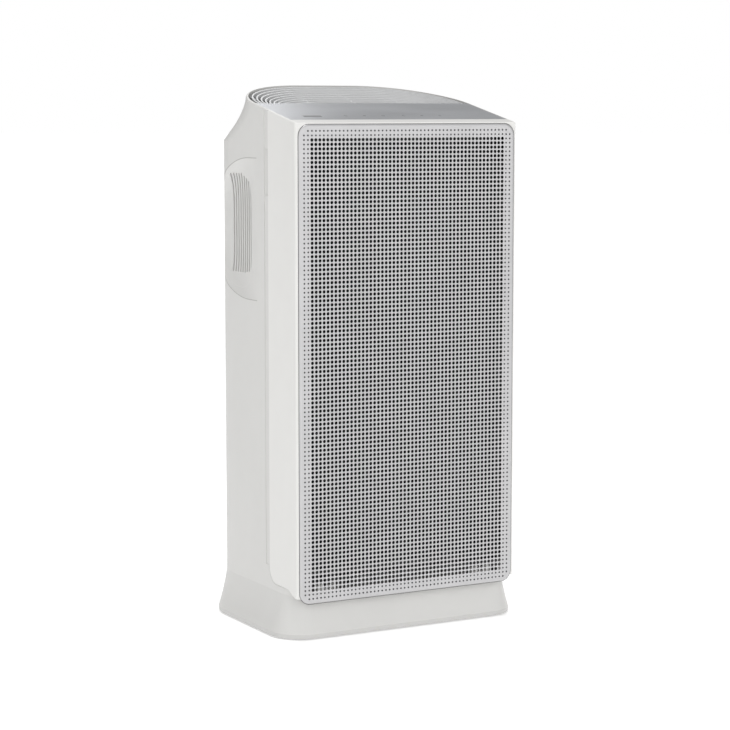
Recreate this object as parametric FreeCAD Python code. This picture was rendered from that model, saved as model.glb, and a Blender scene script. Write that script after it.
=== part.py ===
"""Floor-standing air purifier: tilting front cover, filters, centrifugal fan, three outlets.

Millimetres. Origin at the middle of the box on the floor, +Z up, the front faces -Y.
Distances called "depth" are measured back from the plane of the front grille.
Heights are measured from a datum 4 mm above the floor, and write() moves every shape up by that.
"""
import FreeCAD, Part
import math
import os

V = FreeCAD.Vector

# Overall size
HALF_WIDTH = 180.0          # body, half of its width
FOOT_HALF_WIDTH = 196.0     # base at the floor, half of its width
DEPTH = 293.0
FRONT_Y = -DEPTH / 2
WALL = 3.5
GAP = 0.5                   # parting gap between neighbouring covers

# The top is one plane that rises towards the back
TOP_FRONT_Z = 725.0
TOP_SLOPE = 0.21
TOP_EDGE_ROUND = 3.0
BODY_TOP_Z = 699.0          # the back is upright below this height
SKY_Z = 830.0               # above everything, for cutting tools
BODY_REAR_RADIUS = 78.0
# The shoulder behind the top: height, depth of the back, radius of the rear corners
SHOULDER = [
    (BODY_TOP_Z, 293.0, BODY_REAR_RADIUS),
    (712.0, 284.0, 95.0),
    (724.0, 275.0, 108.0),
    (736.0, 268.0, 119.0),
    (748.0, 264.0, 129.0),
    (760.0, 262.0, 135.0),
    (772.0, 262.0, 135.0),
    (785.0, 262.0, 135.0),
    (800.0, 262.0, 135.0),
]
RIM_BACK = 262.0
RIM_RADIUS = 135.0

# Base
FLOOR_Z = -4.0
FOOT_PAD_Z = FLOOR_Z + 2.0  # underside of the base, on its rubber feet
PAN_FLOOR_Z = FOOT_PAD_Z + 3.0
FOOT_EDGE_Z = 4.0           # the foot's upright edge ends here and the flare starts
NECK_Z = 58.0
NECK_FRONT = 16.0
NECK_FRONT_RADIUS = 28.0
FOOT_FRONT = 6.0
FOOT_FRONT_RADIUS = 48.0
FOOT_REAR_RADIUS = 84.0
FLARE_HEIGHTS = (FOOT_EDGE_Z, 10.5, 19.0, 29.5, 40.0, 50.0, NECK_Z)
BASE_SCREW_PLACES = ((-168.0, 70.0), (168.0, 70.0), (-150.0, 262.0), (150.0, 262.0))
FOOT_PLACES = ((-140.0, 50.0), (140.0, 50.0), (-140.0, 246.0), (140.0, 246.0))
INLET_X = 120.0             # mains inlet
INLET_Z = 34.0
INLET_HALF_WIDTH = 15.0
INLET_HALF_HEIGHT = 11.0

# Front cover and its grille
COVER_FRONT = 2.0
COVER_FRONT_RADIUS = 4.0
COVER_BACK = 87.3
COVER_LOW_Z = 67.6          # lower edge of the cover's sides
COVER_LOW_RADIUS = 21.0     # its rounded lower rear corner
COVER_HEM = ((-20.0, 50.0), (0.0, 57.3), (15.0, 61.0), (28.0, COVER_LOW_Z))
COVER_WALL = 2.5            # front wall behind the grille
STRIP_BACK = 99.6           # end of the shallow strip behind the cover's edge
STRIP_STEP = 0.8
BAND_BACK = 22.0            # the cover's top band ends here and the deck starts
BAND_THICK = 3.0
GRILLE_HALF_WIDTH = 176.0
GRILLE_LOW_Z = 49.0
GRILLE_TOP_Z = 724.0
GRILLE_RADIUS = 17.0
WINDOW_HALF_WIDTH = 163.0
WINDOW_LOW_Z = 66.0
WINDOW_TOP_Z = 712.0
GRIP_LOW_Z = 623.0
GRIP_TOP_Z = 689.0
GRIP_DEPTH = 6.5
MAGNET_PLACES = ((-166.9, 240.0), (-166.9, 560.0), (166.9, 240.0), (166.9, 560.0))

# Front cover pivot
PIVOT_DEPTH = 22.0
PIVOT_Z = 64.0
PIVOT_RADIUS = 3.0
PIVOT_X = 128.0             # middle of each cradle
CRADLE_HALF = 8.0
RUNNING = 0.05              # radial clearance of small pins

# Deck and top outlet
DECK_BACK = 132.0
DECK_THICK = 2.5
TOP_GAP = 0.6
FIN_COUNT = 10
FIN_THICK = 2.2
FIN_TALL = 8.0
FIN_FIRST_X = 169.0
FIN_PITCH_X = 5.4
FIN_FIRST_BACK = 249.5
FIN_PITCH_BACK = 10.6
FIN_DISH = 0.5              # each fin is this much lower than the one outside it

# Side outlets
SCOOP_Z = 573.0
SCOOP_HALF_HEIGHT = 101.6
SCOOP_START = 122.0
SCOOP_MIDDLE = 150.0
SCOOP_END = 268.0
SCOOP_SINK = 10.0           # how deep it gets
SCOOP_FULL = 240.0          # and at what depth back
SCOOP_FLATNESS = 5          # a high power makes its floor flat and its ends steep
SLOT_COUNT = 9
SLOT_FIRST = 149.5
SLOT_PITCH = 8.65
SLOT_HALF = 2.2
LOUVRE_THICK = 2.5
LOUVRE_FIN = 8.0

# Air-quality sensor and its hatch
SENSOR_LOW_Z = 118.0
SENSOR_TOP_Z = 172.0
SENSOR_FRONT = 120.5
SENSOR_BACK = 165.0
SENSOR_AXIS_DEPTH = 122.0
SENSOR_AXIS_X = 178.3
SENSOR_PIN_RADIUS = 0.9

# Filters
BAY_HALF_WIDTH = 167.5
BAY_LOW_Z = 80.0
BAY_TOP_Z = 714.0
BAY_FRONT = 12.0
BAY_BACK = 89.5
BAY_WALL = 2.5
FILTER_HALF_WIDTH = 164.0
BAY_SCREW_X = 157.5
BAY_SCREW_HEIGHTS = (150.0, 400.0, 640.0)
FILTER_LOW_Z = 86.0
FILTER_TOP_Z = 706.0
LEDGE_HEIGHTS = (110.0, 300.0, 590.0)
LEDGE_SCREW_X = 171.0

# Fan
FAN_Z = 330.0
DIVIDER_FRONT = 90.0
DIVIDER_THICK = 3.0
INLET_RADIUS = 80.0
IMPELLER_RADIUS = 115.0
BLADE_COUNT = 11
IMPELLER_FRONT = 112.0
IMPELLER_BACK = 206.0
SCROLL_BACK = 222.0
SHAFT_RADIUS = 4.0
MOTOR_RADIUS = 52.0
MOTOR_FRONT = 228.5
MOTOR_LENGTH = 38.0
MOTOR_EAR_RADIUS = 62.0
POST_PLACES = ((-160.0, 160.0), (160.0, 160.0), (-160.0, 480.0), (160.0, 480.0))


def y_at(depth):
    return FRONT_Y + depth


def box(x_low, x_high, front, back, z_low, z_high):
    corner = V(x_low, y_at(front), z_low)
    return Part.makeBox(x_high - x_low, back - front, z_high - z_low, corner)


def cylinder_y(radius, front, back, x, z):
    return Part.makeCylinder(radius, back - front, V(x, y_at(front), z), V(0, 1, 0))


def cylinder_x(radius, x_low, x_high, depth, z):
    return Part.makeCylinder(radius, x_high - x_low, V(x_low, y_at(depth), z), V(1, 0, 0))


def cylinder_z(radius, z_low, z_high, x, depth):
    return Part.makeCylinder(radius, z_high - z_low, V(x, y_at(depth), z_low), V(0, 0, 1))


def quarter(x, y, radius, start_angle, z):
    points = []
    for angle in (start_angle, start_angle + 45, start_angle + 90):
        turn = math.radians(angle)
        points.append(V(x + radius * math.cos(turn), y + radius * math.sin(turn), z))
    return Part.Arc(*points).toShape()


def outline(half, front, back, front_radius, back_radius, z):
    """Closed plan outline with two front and two rear corner radii."""
    y0 = y_at(front)
    y1 = y_at(back)
    edges = [
        quarter(half - front_radius, y0 + front_radius, front_radius, -90, z),
        Part.makeLine(V(half, y0 + front_radius, z), V(half, y1 - back_radius, z)),
        quarter(half - back_radius, y1 - back_radius, back_radius, 0, z),
        Part.makeLine(V(half - back_radius, y1, z), V(back_radius - half, y1, z)),
        quarter(back_radius - half, y1 - back_radius, back_radius, 90, z),
        Part.makeLine(V(-half, y1 - back_radius, z), V(-half, y0 + front_radius, z)),
        quarter(front_radius - half, y0 + front_radius, front_radius, 180, z),
        Part.makeLine(V(front_radius - half, y0, z), V(half - front_radius, y0, z)),
    ]
    return Part.Wire(edges)


def rounded_plate(half, z_low, z_high, radius, front, back):
    """Upright plate in the XZ plane with rounded corners."""
    plate = box(-half, half, front, back, z_low, z_high)
    upright = [e for e in plate.Edges if abs(e.tangentAt(e.FirstParameter).y) > 0.9]
    return plate.makeFillet(radius, upright)


def side_prism(points, x_low, x_high):
    """Extrudes a polygon of (depth, z) points along X."""
    corners = [V(x_low, y_at(depth), z) for depth, z in points]
    face = Part.Face(Part.makePolygon(corners + corners[:1]))
    return face.extrude(V(x_high - x_low, 0, 0))


def top_z(depth):
    return TOP_FRONT_Z + TOP_SLOPE * depth


def above_top(lower=0.0):
    """Everything over the sloping top plane, which may be lowered."""
    wide = FOOT_HALF_WIDTH + 20
    points = [
        (-50, top_z(-50) - lower),
        (DEPTH + 50, top_z(DEPTH + 50) - lower),
        (DEPTH + 50, SKY_Z + 100),
        (-50, SKY_Z + 100),
    ]
    return side_prism(points, -wide, wide)


def shell_body(inset):
    """The body's outer or inset form, up to above the sloping top."""
    front = COVER_FRONT + inset
    front_radius = COVER_FRONT_RADIUS
    low_z = 40.0
    rear_radius = BODY_REAR_RADIUS - inset
    low = outline(HALF_WIDTH - inset, front, DEPTH - inset, front_radius, rear_radius, low_z)
    straight = Part.Face(low).extrude(V(0, 0, BODY_TOP_Z - low_z))
    rings = []
    for z, back, radius in SHOULDER:
        ring = outline(HALF_WIDTH - inset, front, back - inset, front_radius, radius - inset, z)
        rings.append(ring)
    return straight.fuse(Part.makeLoft(rings, True)).removeSplitter()


def outer_form():
    """The closed outer form with the rim of its sloping top rounded."""
    form = shell_body(0.0).cut(above_top())
    rim = []
    for edge in form.Edges:
        on_plane = [abs(p.z - top_z(p.y - FRONT_Y)) < 0.05 for p in edge.discretize(5)]
        if all(on_plane):
            rim.append(edge)
    return form.makeFillet(TOP_EDGE_ROUND, rim)


def cover_region(grow):
    """Side view of everything that belongs to the front cover."""
    back = COVER_BACK + grow
    low = COVER_LOW_Z - grow
    bend_y = back - COVER_LOW_RADIUS
    bend_z = low + COVER_LOW_RADIUS
    half = COVER_LOW_RADIUS * math.sqrt(0.5)
    x = -HALF_WIDTH - 20
    hem = [V(x, y_at(depth), z - grow) for depth, z in COVER_HEM]
    start = V(x, y_at(bend_y), low)
    middle = V(x, y_at(bend_y + half), bend_z - half)
    end = V(x, y_at(back), bend_z)
    rest = [end, V(x, y_at(back), SKY_Z), V(x, hem[0].y, SKY_Z), hem[0]]
    edges = [
        Part.makePolygon(hem + [start]),
        Part.Arc(start, middle, end).toShape(),
        Part.makePolygon(rest),
    ]
    return Part.Face(Part.Wire(edges)).extrude(V(2 * HALF_WIDTH + 40, 0, 0))


def cover_inside():
    inner_half = HALF_WIDTH - WALL
    wall_front = COVER_FRONT + COVER_WALL
    room = box(-inner_half, inner_half, wall_front, 120, 40, SKY_Z).cut(above_top(BAND_THICK))
    return room.fuse(box(-inner_half, inner_half, BAND_BACK, 120, 600, SKY_Z))


def cover_lug(x_low, x_high):
    """Ear behind the cover's front wall that holds a pivot pin."""
    points = [
        (4.0, 58.5),
        (10.0, 61.5),
        (PIVOT_DEPTH + 4, 61.5),
        (PIVOT_DEPTH + 4, PIVOT_Z + 5),
        (4.0, 76.0),
    ]
    return side_prism(points, x_low, x_high)


def front_cover(form):
    cover = form.common(cover_region(0.0)).cut(cover_inside())
    wall = rounded_plate(172.0, 53.0, 700.0, 14.0, COVER_FRONT, COVER_FRONT + COVER_WALL)
    cover = cover.fuse(wall)
    window = rounded_plate(WINDOW_HALF_WIDTH, WINDOW_LOW_Z, WINDOW_TOP_Z, 10.0, -1, 10)
    cover = cover.cut(window)
    for side in (-1, 1):
        for offset in (-CRADLE_HALF - 3.5, CRADLE_HALF + 0.5):
            x = side * PIVOT_X + offset
            cover = cover.fuse(cover_lug(x, x + 3.0))
        pin_low = side * PIVOT_X - CRADLE_HALF - 4.0
        cover = cover.cut(cylinder_x(PIVOT_RADIUS, pin_low, pin_low + 24, PIVOT_DEPTH, PIVOT_Z))
    return cover.removeSplitter()


def cover_pivot_pins():
    pins = []
    for side in (-1, 1):
        low = side * PIVOT_X - CRADLE_HALF - 3.5
        pins.append(cylinder_x(PIVOT_RADIUS, low, low + 23, PIVOT_DEPTH, PIVOT_Z))
    return Part.makeCompound(pins)


def front_grille():
    plate = rounded_plate(
        GRILLE_HALF_WIDTH, GRILLE_LOW_Z, GRILLE_TOP_Z, GRILLE_RADIUS, 0, COVER_FRONT
    )
    front_edges = [e for e in plate.Edges if e.BoundBox.YMax < FRONT_Y + 0.01]
    return plate.makeFillet(1.4, front_edges)


def cover_magnets():
    magnets = []
    for x, z in MAGNET_PLACES:
        magnets.append(cylinder_y(3.5, COVER_FRONT + COVER_WALL, 8.0, x, z))
    return Part.makeCompound(magnets)


def catch_plates():
    plates = []
    for x, z in MAGNET_PLACES:
        plates.append(box(x - 4, x + 4, 9.0, 10.0, z - 12, z + 12))
    return Part.makeCompound(plates)


def flare_form(inset):
    """The base widens downwards from the neck, faster near the floor."""
    rings = []
    for z in FLARE_HEIGHTS:
        down = (NECK_Z - z) / (NECK_Z - FOOT_EDGE_Z)
        spread = 0.35 * down * down + 0.65 * down
        half = HALF_WIDTH + spread * (FOOT_HALF_WIDTH - HALF_WIDTH)
        front = NECK_FRONT + spread * (FOOT_FRONT - NECK_FRONT)
        front_radius = NECK_FRONT_RADIUS + spread * (FOOT_FRONT_RADIUS - NECK_FRONT_RADIUS)
        rear_radius = BODY_REAR_RADIUS + spread * (FOOT_REAR_RADIUS - BODY_REAR_RADIUS)
        ring = outline(
            half - inset, front + inset, DEPTH - inset, front_radius - inset, rear_radius - inset, z
        )
        rings.append(ring)
    return Part.makeLoft(rings, True)


def neck_form(inset):
    ring = outline(
        HALF_WIDTH - inset,
        NECK_FRONT + inset,
        DEPTH - inset,
        NECK_FRONT_RADIUS - inset,
        BODY_REAR_RADIUS - inset,
        NECK_Z,
    )
    return Part.Face(ring).extrude(V(0, 0, 60))


def scoop_section(depth, extra_depth, extra_height):
    """One upright slice of the side scoop on the right-hand side."""
    x_face = HALF_WIDTH + 12
    reach = (depth - SCOOP_MIDDLE) / (SCOOP_END + 12 - SCOOP_MIDDLE)
    if depth < SCOOP_MIDDLE:
        reach = 0.0
    half = SCOOP_HALF_HEIGHT * math.sqrt(1 - reach * reach) + extra_height
    run = min(1.0, (depth - SCOOP_START) / (SCOOP_FULL - SCOOP_START))
    sink = SCOOP_SINK * math.sin(run * math.pi / 2) + extra_depth
    points = []
    for step in (-1.0, -0.92, -0.8, -0.6, 0.0, 0.6, 0.8, 0.92, 1.0):
        sunk = sink * (1 - abs(step) ** SCOOP_FLATNESS)
        points.append(V(HALF_WIDTH - sunk, y_at(depth), SCOOP_Z + step * half))
    curve = Part.BSplineCurve()
    curve.interpolate(points)
    first = points[0]
    last = points[-1]
    out_last = V(x_face, last.y, last.z)
    out_first = V(x_face, first.y, first.z)
    return Part.Wire(
        [
            curve.toShape(),
            Part.makeLine(last, out_last),
            Part.makeLine(out_last, out_first),
            Part.makeLine(out_first, first),
        ]
    )


def scoop_form(extra_depth, extra_height):
    depths = (SCOOP_START, 136.0, 150.0, 175.0, 200.0, 225.0, 248.0, SCOOP_END)
    rings = [scoop_section(depth, extra_depth, extra_height) for depth in depths]
    return Part.makeLoft(rings, True)


def mirrored(shape):
    return shape.mirror(V(0, 0, 0), V(1, 0, 0))


def slot_cutters():
    cutters = []
    for index in range(SLOT_COUNT):
        depth = SLOT_FIRST + index * SLOT_PITCH
        low = 514.0 - min(index, 3) * 1.5
        high = 636.0 + min(index, 4) * 3.5
        cutters.append(
            box(140, HALF_WIDTH + 2, depth - SLOT_HALF, depth + SLOT_HALF, low, high)
        )
        for end in (low, high):
            cutters.append(cylinder_x(SLOT_HALF, 140, HALF_WIDTH + 2, depth, end))
    return cutters


def side_louvre(inside):
    """Right-hand outlet insert: a scooped skin with upright slots and deeper fins."""
    scoop = scoop_form(0.0, 0.0)
    skin = scoop_form(LOUVRE_THICK, 2.0).common(inside)
    fins = scoop_form(LOUVRE_FIN, 0.0)
    fins = fins.common(box(100, HALF_WIDTH, 143, 226, 506, 656)).common(inside)
    insert = skin.fuse(fins).cut(scoop)
    return insert.cut(Part.makeCompound(slot_cutters())).removeSplitter()


def housing_ledges():
    """Blocks on the inner side walls that the divider is screwed to."""
    ledges = []
    inner_half = HALF_WIDTH - WALL
    back = DIVIDER_FRONT + DIVIDER_THICK
    for low in (-inner_half - 1, inner_half - 12):
        for z in LEDGE_HEIGHTS:
            ledges.append(box(low, low + 13, back, back + 14, z - 9, z + 9))
    return ledges


def divider_screw_places():
    return [(side * LEDGE_SCREW_X, z) for side in (-1, 1) for z in LEDGE_HEIGHTS]


def screw_y(x, z, head_front, shank_back, shank_radius, head_radius, head_tall):
    """Pan-head screw along Y with its head at the front."""
    head = cylinder_y(head_radius, head_front, head_front + head_tall, x, z)
    shank = cylinder_y(shank_radius, head_front + head_tall, shank_back, x, z)
    return head.fuse(shank)


def rear_housing(form):
    upper = form.cut(cover_region(GAP))
    inside_upper = shell_body(WALL)
    upper = upper.common(box(-200, 200, 60, 300, 60, SKY_Z)).cut(inside_upper)
    neck = neck_form(0.0).cut(cover_region(GAP)).cut(neck_form(WALL))
    neck = neck.cut(box(-172, 172, 10, 26, 59.0, 80))
    flare = flare_form(0.0).cut(flare_form(WALL))
    shelf_ring = outline(HALF_WIDTH - 1, NECK_FRONT + 1, 130, NECK_FRONT_RADIUS - 1, 5, 55.5)
    shelf = Part.Face(shelf_ring).extrude(V(0, 0, 3.5)).common(box(-200, 200, 0, 96, 50, 62))
    housing = flare.fuse([neck, upper, shelf])
    for side in (-1, 1):
        x = side * PIVOT_X
        cradle = box(x - CRADLE_HALF, x + CRADLE_HALF, 17.5, 27.0, 58, PIVOT_Z)
        housing = housing.fuse(cradle)
        groove = cylinder_x(PIVOT_RADIUS + RUNNING, x - 12, x + 12, PIVOT_DEPTH, PIVOT_Z)
        housing = housing.cut(groove)
        pad_low = HALF_WIDTH - 10 if side > 0 else 1 - HALF_WIDTH
        housing = housing.fuse(box(pad_low, pad_low + 9, COVER_BACK + GAP, 103, 617, 695))
    housing = housing.fuse(housing_ledges())
    for x, depth in BASE_SCREW_PLACES:
        low = x - 8 if x > 0 else -FOOT_HALF_WIDTH
        high = FOOT_HALF_WIDTH if x > 0 else x + 8
        gusset = box(low, high, depth - 8, depth + 8, FOOT_EDGE_Z, 40)
        housing = housing.fuse(gusset.common(flare_form(1.0)))
    housing = cut_housing(housing)
    return housing.removeSplitter()


def cut_housing(housing):
    """Strip, grips, scoops, sensor door, power socket and screw holes."""
    for side in (-1, 1):
        strip_low = HALF_WIDTH - STRIP_STEP if side > 0 else -HALF_WIDTH - 2
        strip = box(strip_low, strip_low + 2 + STRIP_STEP, 80, STRIP_BACK, 92, SKY_Z)
        grip = Part.Face(
            Part.makePolygon(
                [
                    V(side * (HALF_WIDTH - GRIP_DEPTH), y_at(80), GRIP_LOW_Z),
                    V(side * (HALF_WIDTH - GRIP_DEPTH), y_at(COVER_BACK + 3), GRIP_LOW_Z),
                    V(side * (HALF_WIDTH - STRIP_STEP), y_at(STRIP_BACK), GRIP_LOW_Z),
                    V(side * (HALF_WIDTH + 5), y_at(STRIP_BACK), GRIP_LOW_Z),
                    V(side * (HALF_WIDTH + 5), y_at(80), GRIP_LOW_Z),
                    V(side * (HALF_WIDTH - GRIP_DEPTH), y_at(80), GRIP_LOW_Z),
                ]
            )
        ).extrude(V(0, 0, GRIP_TOP_Z - GRIP_LOW_Z))
        housing = housing.cut(strip.fuse(grip))
    scoop = scoop_form(0.0, 0.0)
    housing = housing.cut(scoop).cut(mirrored(scoop))
    for x, z in divider_screw_places():
        housing = housing.cut(cylinder_y(1.75, 92, 104, x, z))
    for x, depth in BASE_SCREW_PLACES:
        housing = housing.cut(cylinder_z(1.75, FLOOR_Z, FOOT_EDGE_Z + 12, x, depth))
    door = box(
        170, 190, SENSOR_FRONT - 0.9, SENSOR_BACK + 0.4, SENSOR_LOW_Z - 0.4, SENSOR_TOP_Z + 0.4
    )
    bore = cylinder_z(
        SENSOR_PIN_RADIUS + RUNNING, SENSOR_LOW_Z - 3, SENSOR_TOP_Z + 3,
        SENSOR_AXIS_X, SENSOR_AXIS_DEPTH,
    )
    housing = housing.cut(door.fuse(bore))
    socket = box(
        INLET_X - INLET_HALF_WIDTH, INLET_X + INLET_HALF_WIDTH, 280, 300,
        INLET_Z - INLET_HALF_HEIGHT, INLET_Z + INLET_HALF_HEIGHT,
    )
    return housing.cut(socket)


def base_pan():
    rim = outline(
        FOOT_HALF_WIDTH, FOOT_FRONT, DEPTH, FOOT_FRONT_RADIUS, FOOT_REAR_RADIUS, FOOT_PAD_Z
    )
    pan = Part.Face(rim).extrude(V(0, 0, FOOT_EDGE_Z - FOOT_PAD_Z))
    wall = 3.0
    inner = outline(
        FOOT_HALF_WIDTH - wall, FOOT_FRONT + wall, DEPTH - wall,
        FOOT_FRONT_RADIUS - wall, FOOT_REAR_RADIUS - wall, PAN_FLOOR_Z,
    )
    pan = pan.cut(Part.Face(inner).extrude(V(0, 0, 10)))
    for x, depth in BASE_SCREW_PLACES:
        pan = pan.fuse(cylinder_z(7, FOOT_PAD_Z + 1, FOOT_EDGE_Z, x, depth))
        pan = pan.cut(cylinder_z(1.9, FLOOR_Z, 20, x, depth))
        pan = pan.cut(cylinder_z(4.2, FLOOR_Z, FOOT_PAD_Z + 2.5, x, depth))
    return pan.removeSplitter()


def base_screws():
    screws = []
    for x, depth in BASE_SCREW_PLACES:
        head = cylinder_z(3.6, FOOT_PAD_Z + 0.4, FOOT_PAD_Z + 2.5, x, depth)
        shank = cylinder_z(1.7, FOOT_PAD_Z + 2.5, FOOT_EDGE_Z + 10, x, depth)
        screws.append(head.fuse(shank))
    return Part.makeCompound(screws)


def rubber_feet():
    feet = []
    for x, depth in FOOT_PLACES:
        feet.append(cylinder_z(14, FLOOR_Z, FOOT_PAD_Z, x, depth))
    return Part.makeCompound(feet)


def top_outline(inset, front, z):
    """Plan outline of what fills the sloping top, from a straight front edge back."""
    half = HALF_WIDTH - inset
    radius = RIM_RADIUS - inset
    back = RIM_BACK - inset
    y_turn = y_at(back - radius)
    edges = [
        Part.makeLine(V(-half, y_at(front), z), V(half, y_at(front), z)),
        Part.makeLine(V(half, y_at(front), z), V(half, y_turn, z)),
        quarter(half - radius, y_turn, radius, 0, z),
        Part.makeLine(V(half - radius, y_at(back), z), V(radius - half, y_at(back), z)),
        quarter(radius - half, y_turn, radius, 90, z),
        Part.makeLine(V(-half, y_turn, z), V(-half, y_at(front), z)),
    ]
    return Part.Wire(edges)


def top_slab(top_drop, thick):
    """A slab parallel to the sloping top."""
    return above_top(top_drop + thick).cut(above_top(top_drop))


def top_deck():
    half = HALF_WIDTH - WALL - TOP_GAP
    plan = outline(half, BAND_BACK + GAP, 300, 2.0, 5.0, 600)
    column = Part.Face(plan).extrude(V(0, 0, 300))
    column = column.common(box(-200, 200, 0, DECK_BACK, 600, SKY_Z)).common(deck_plan_limit())
    return column.common(top_slab(0.3, DECK_THICK))


def deck_plan_limit():
    limit = top_outline(WALL + TOP_GAP, 0.0, 600)
    return Part.Face(limit).extrude(V(0, 0, 300))


def fin_wire(half, back, z):
    """Open U with elliptical corners from the deck edge round the back."""
    flat = 45.0 * half / FIN_FIRST_X
    y_front = y_at(DECK_BACK + 1)
    reach = back - DECK_BACK - 1
    across = half - flat
    edges = []
    for side in (1, -1):
        centre = V(side * flat, y_front, z)
        if across >= reach:
            curve = Part.Ellipse(centre + V(side * across, 0, 0), centre + V(0, reach, 0), centre)
        else:
            curve = Part.Ellipse(centre + V(0, reach, 0), centre + V(side * across, 0, 0), centre)
        edges.append(Part.ArcOfEllipse(curve, 0, math.pi / 2).toShape())
    rear = Part.makeLine(V(flat, y_front + reach, z), V(-flat, y_front + reach, z))
    return [edges[0], rear, edges[1]]


def fin_column(half, back):
    """Solid column inside one U, for cutting fins from."""
    edges = fin_wire(half, back, 600)
    y_front = y_at(DECK_BACK + 1)
    edges.append(Part.makeLine(V(-half, y_front, 600), V(half, y_front, 600)))
    wire = Part.Wire(Part.__sortEdges__(edges))
    return Part.Face(wire).extrude(V(0, 0, 300))


def top_outlet_grille():
    """Rim, nested fins, ribs under them and a middle plate, moulded as one."""
    inset = WALL + TOP_GAP
    plan = top_outline(inset, DECK_BACK + GAP, 600)
    whole = Part.Face(plan).extrude(V(0, 0, 300))
    hole = fin_column(FIN_FIRST_X + FIN_PITCH_X - 1.1, RIM_BACK - inset - 2.0)
    grille = whole.cut(hole).common(top_slab(0.4, FIN_TALL))
    for index in range(FIN_COUNT):
        half = FIN_FIRST_X - index * FIN_PITCH_X
        back = FIN_FIRST_BACK - index * FIN_PITCH_BACK
        outer = fin_column(half + FIN_THICK / 2, back + FIN_THICK / 2)
        inner = fin_column(half - FIN_THICK / 2, back - FIN_THICK / 2)
        drop = 1.0 + index * FIN_DISH
        fin = outer
        if index < FIN_COUNT - 1:
            fin = outer.cut(inner)
        thick = FIN_TALL - 1 if index < FIN_COUNT - 1 else 3.0
        grille = grille.fuse(fin.common(top_slab(drop, thick)))
    ribs = []
    for x in (-150, -75, 0, 75, 150):
        ribs.append(box(x - 1, x + 1, DECK_BACK + GAP, 260, 600, SKY_Z))
    grille = grille.fuse([r.common(whole).common(top_slab(6.0, 3.5)) for r in ribs])
    return grille.removeSplitter()


def bay_screw_places():
    return [(side * BAY_SCREW_X, z) for side in (-1, 1) for z in BAY_SCREW_HEIGHTS]


def filter_bay():
    tube = box(-BAY_HALF_WIDTH, BAY_HALF_WIDTH, BAY_FRONT, BAY_BACK, BAY_LOW_Z, BAY_TOP_Z)
    inner_half = BAY_HALF_WIDTH - BAY_WALL
    low = BAY_LOW_Z + BAY_WALL
    high = BAY_TOP_Z - BAY_WALL
    room = box(-inner_half, inner_half, 0, BAY_BACK - 3, low, high)
    opening = box(-150, 150, 0, 100, 92, 690)
    bay = tube.cut(room).cut(opening)
    for x, z in bay_screw_places():
        bay = bay.cut(cylinder_y(1.9, 80, 95, x, z))
    return bay


def bay_screws():
    screws = []
    for x, z in bay_screw_places():
        screws.append(screw_y(x, z, BAY_BACK - 5.2, DIVIDER_FRONT + 2.5, 1.7, 3.2, 2.2))
    return Part.makeCompound(screws)


def frame_ring(front, back, border):
    outer = box(-FILTER_HALF_WIDTH, FILTER_HALF_WIDTH, front, back, FILTER_LOW_Z, FILTER_TOP_Z)
    inner_half = FILTER_HALF_WIDTH - border
    low = FILTER_LOW_Z + border
    high = FILTER_TOP_Z - border
    hole = box(-inner_half, inner_half, front - 1, back + 1, low, high)
    return outer.cut(hole)


def pre_filter_frame():
    frame = frame_ring(13.0, 17.0, 9.0)
    inner_half = FILTER_HALF_WIDTH - 8
    for z in (232.0, 390.0, 548.0):
        frame = frame.fuse(box(-inner_half, inner_half, 15.4, 17, z - 2.5, z + 2.5))
    for x in (-52.0, 52.0):
        bar = box(x - 2.5, x + 2.5, 15.4, 17, FILTER_LOW_Z + 8, FILTER_TOP_Z - 8)
        frame = frame.fuse(bar)
    return frame.removeSplitter()


def pre_filter_mesh():
    half = FILTER_HALF_WIDTH - 9
    return box(-half, half, 14.6, 15.4, FILTER_LOW_Z + 9, FILTER_TOP_Z - 9)


def carbon_filter():
    return box(-FILTER_HALF_WIDTH, FILTER_HALF_WIDTH, 22.0, 36.0, FILTER_LOW_Z, FILTER_TOP_Z)


def hepa_frame():
    return frame_ring(38.0, 84.0, 5.0)


def hepa_pleats():
    """One folded sheet of filter paper, pleats upright."""
    half = FILTER_HALF_WIDTH - 5.4
    pleats = 36
    pitch = 2 * half / pleats
    paper = 0.9
    front = []
    back = []
    for index in range(2 * pleats + 1):
        x = -half + index * pitch / 2
        depth = 41.0 if index % 2 == 0 else 79.0
        front.append(V(x, y_at(depth), FILTER_LOW_Z + 6))
        back.append(V(x, y_at(depth + paper * 4), FILTER_LOW_Z + 6))
    loop = front + back[::-1] + front[:1]
    tall = FILTER_TOP_Z - FILTER_LOW_Z - 12
    return Part.Face(Part.makePolygon(loop)).extrude(V(0, 0, tall))


def filter_pull_tabs():
    tabs = []
    for x in (-90.0, 90.0):
        tabs.append(box(x - 12, x + 12, 20.5, 21.5, 330, 400))
    return Part.makeCompound(tabs)


def divider_panel():
    half = HALF_WIDTH - WALL - 0.5
    back = DIVIDER_FRONT + DIVIDER_THICK
    panel = box(-half, half, DIVIDER_FRONT, back, 60, 735)
    panel = panel.cut(cylinder_y(INLET_RADIUS + 22, 80, 100, 0, FAN_Z))
    for x, z in divider_screw_places():
        panel = panel.cut(cylinder_y(1.9, 80, 100, x, z))
    for x, z in bay_screw_places():
        panel = panel.cut(cylinder_y(1.75, 80, 100, x, z))
    for x, z in guard_screw_places():
        panel = panel.cut(cylinder_y(1.75, 80, 100, x, z))
    for low in (-HALF_WIDTH, HALF_WIDTH - 11):
        panel = panel.cut(box(low, low + 11, 80, 100, 614, 698))
    return panel


def divider_screws():
    screws = []
    for x, z in divider_screw_places():
        screws.append(screw_y(x, z, DIVIDER_FRONT - 2.2, 103.0, 1.7, 3.2, 2.2))
    return Part.makeCompound(screws)


def guard_screw_places():
    places = []
    for index in range(4):
        turn = math.radians(45 + 90 * index)
        reach = INLET_RADIUS + 34
        places.append((reach * math.cos(turn), FAN_Z + reach * math.sin(turn)))
    return places


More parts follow.
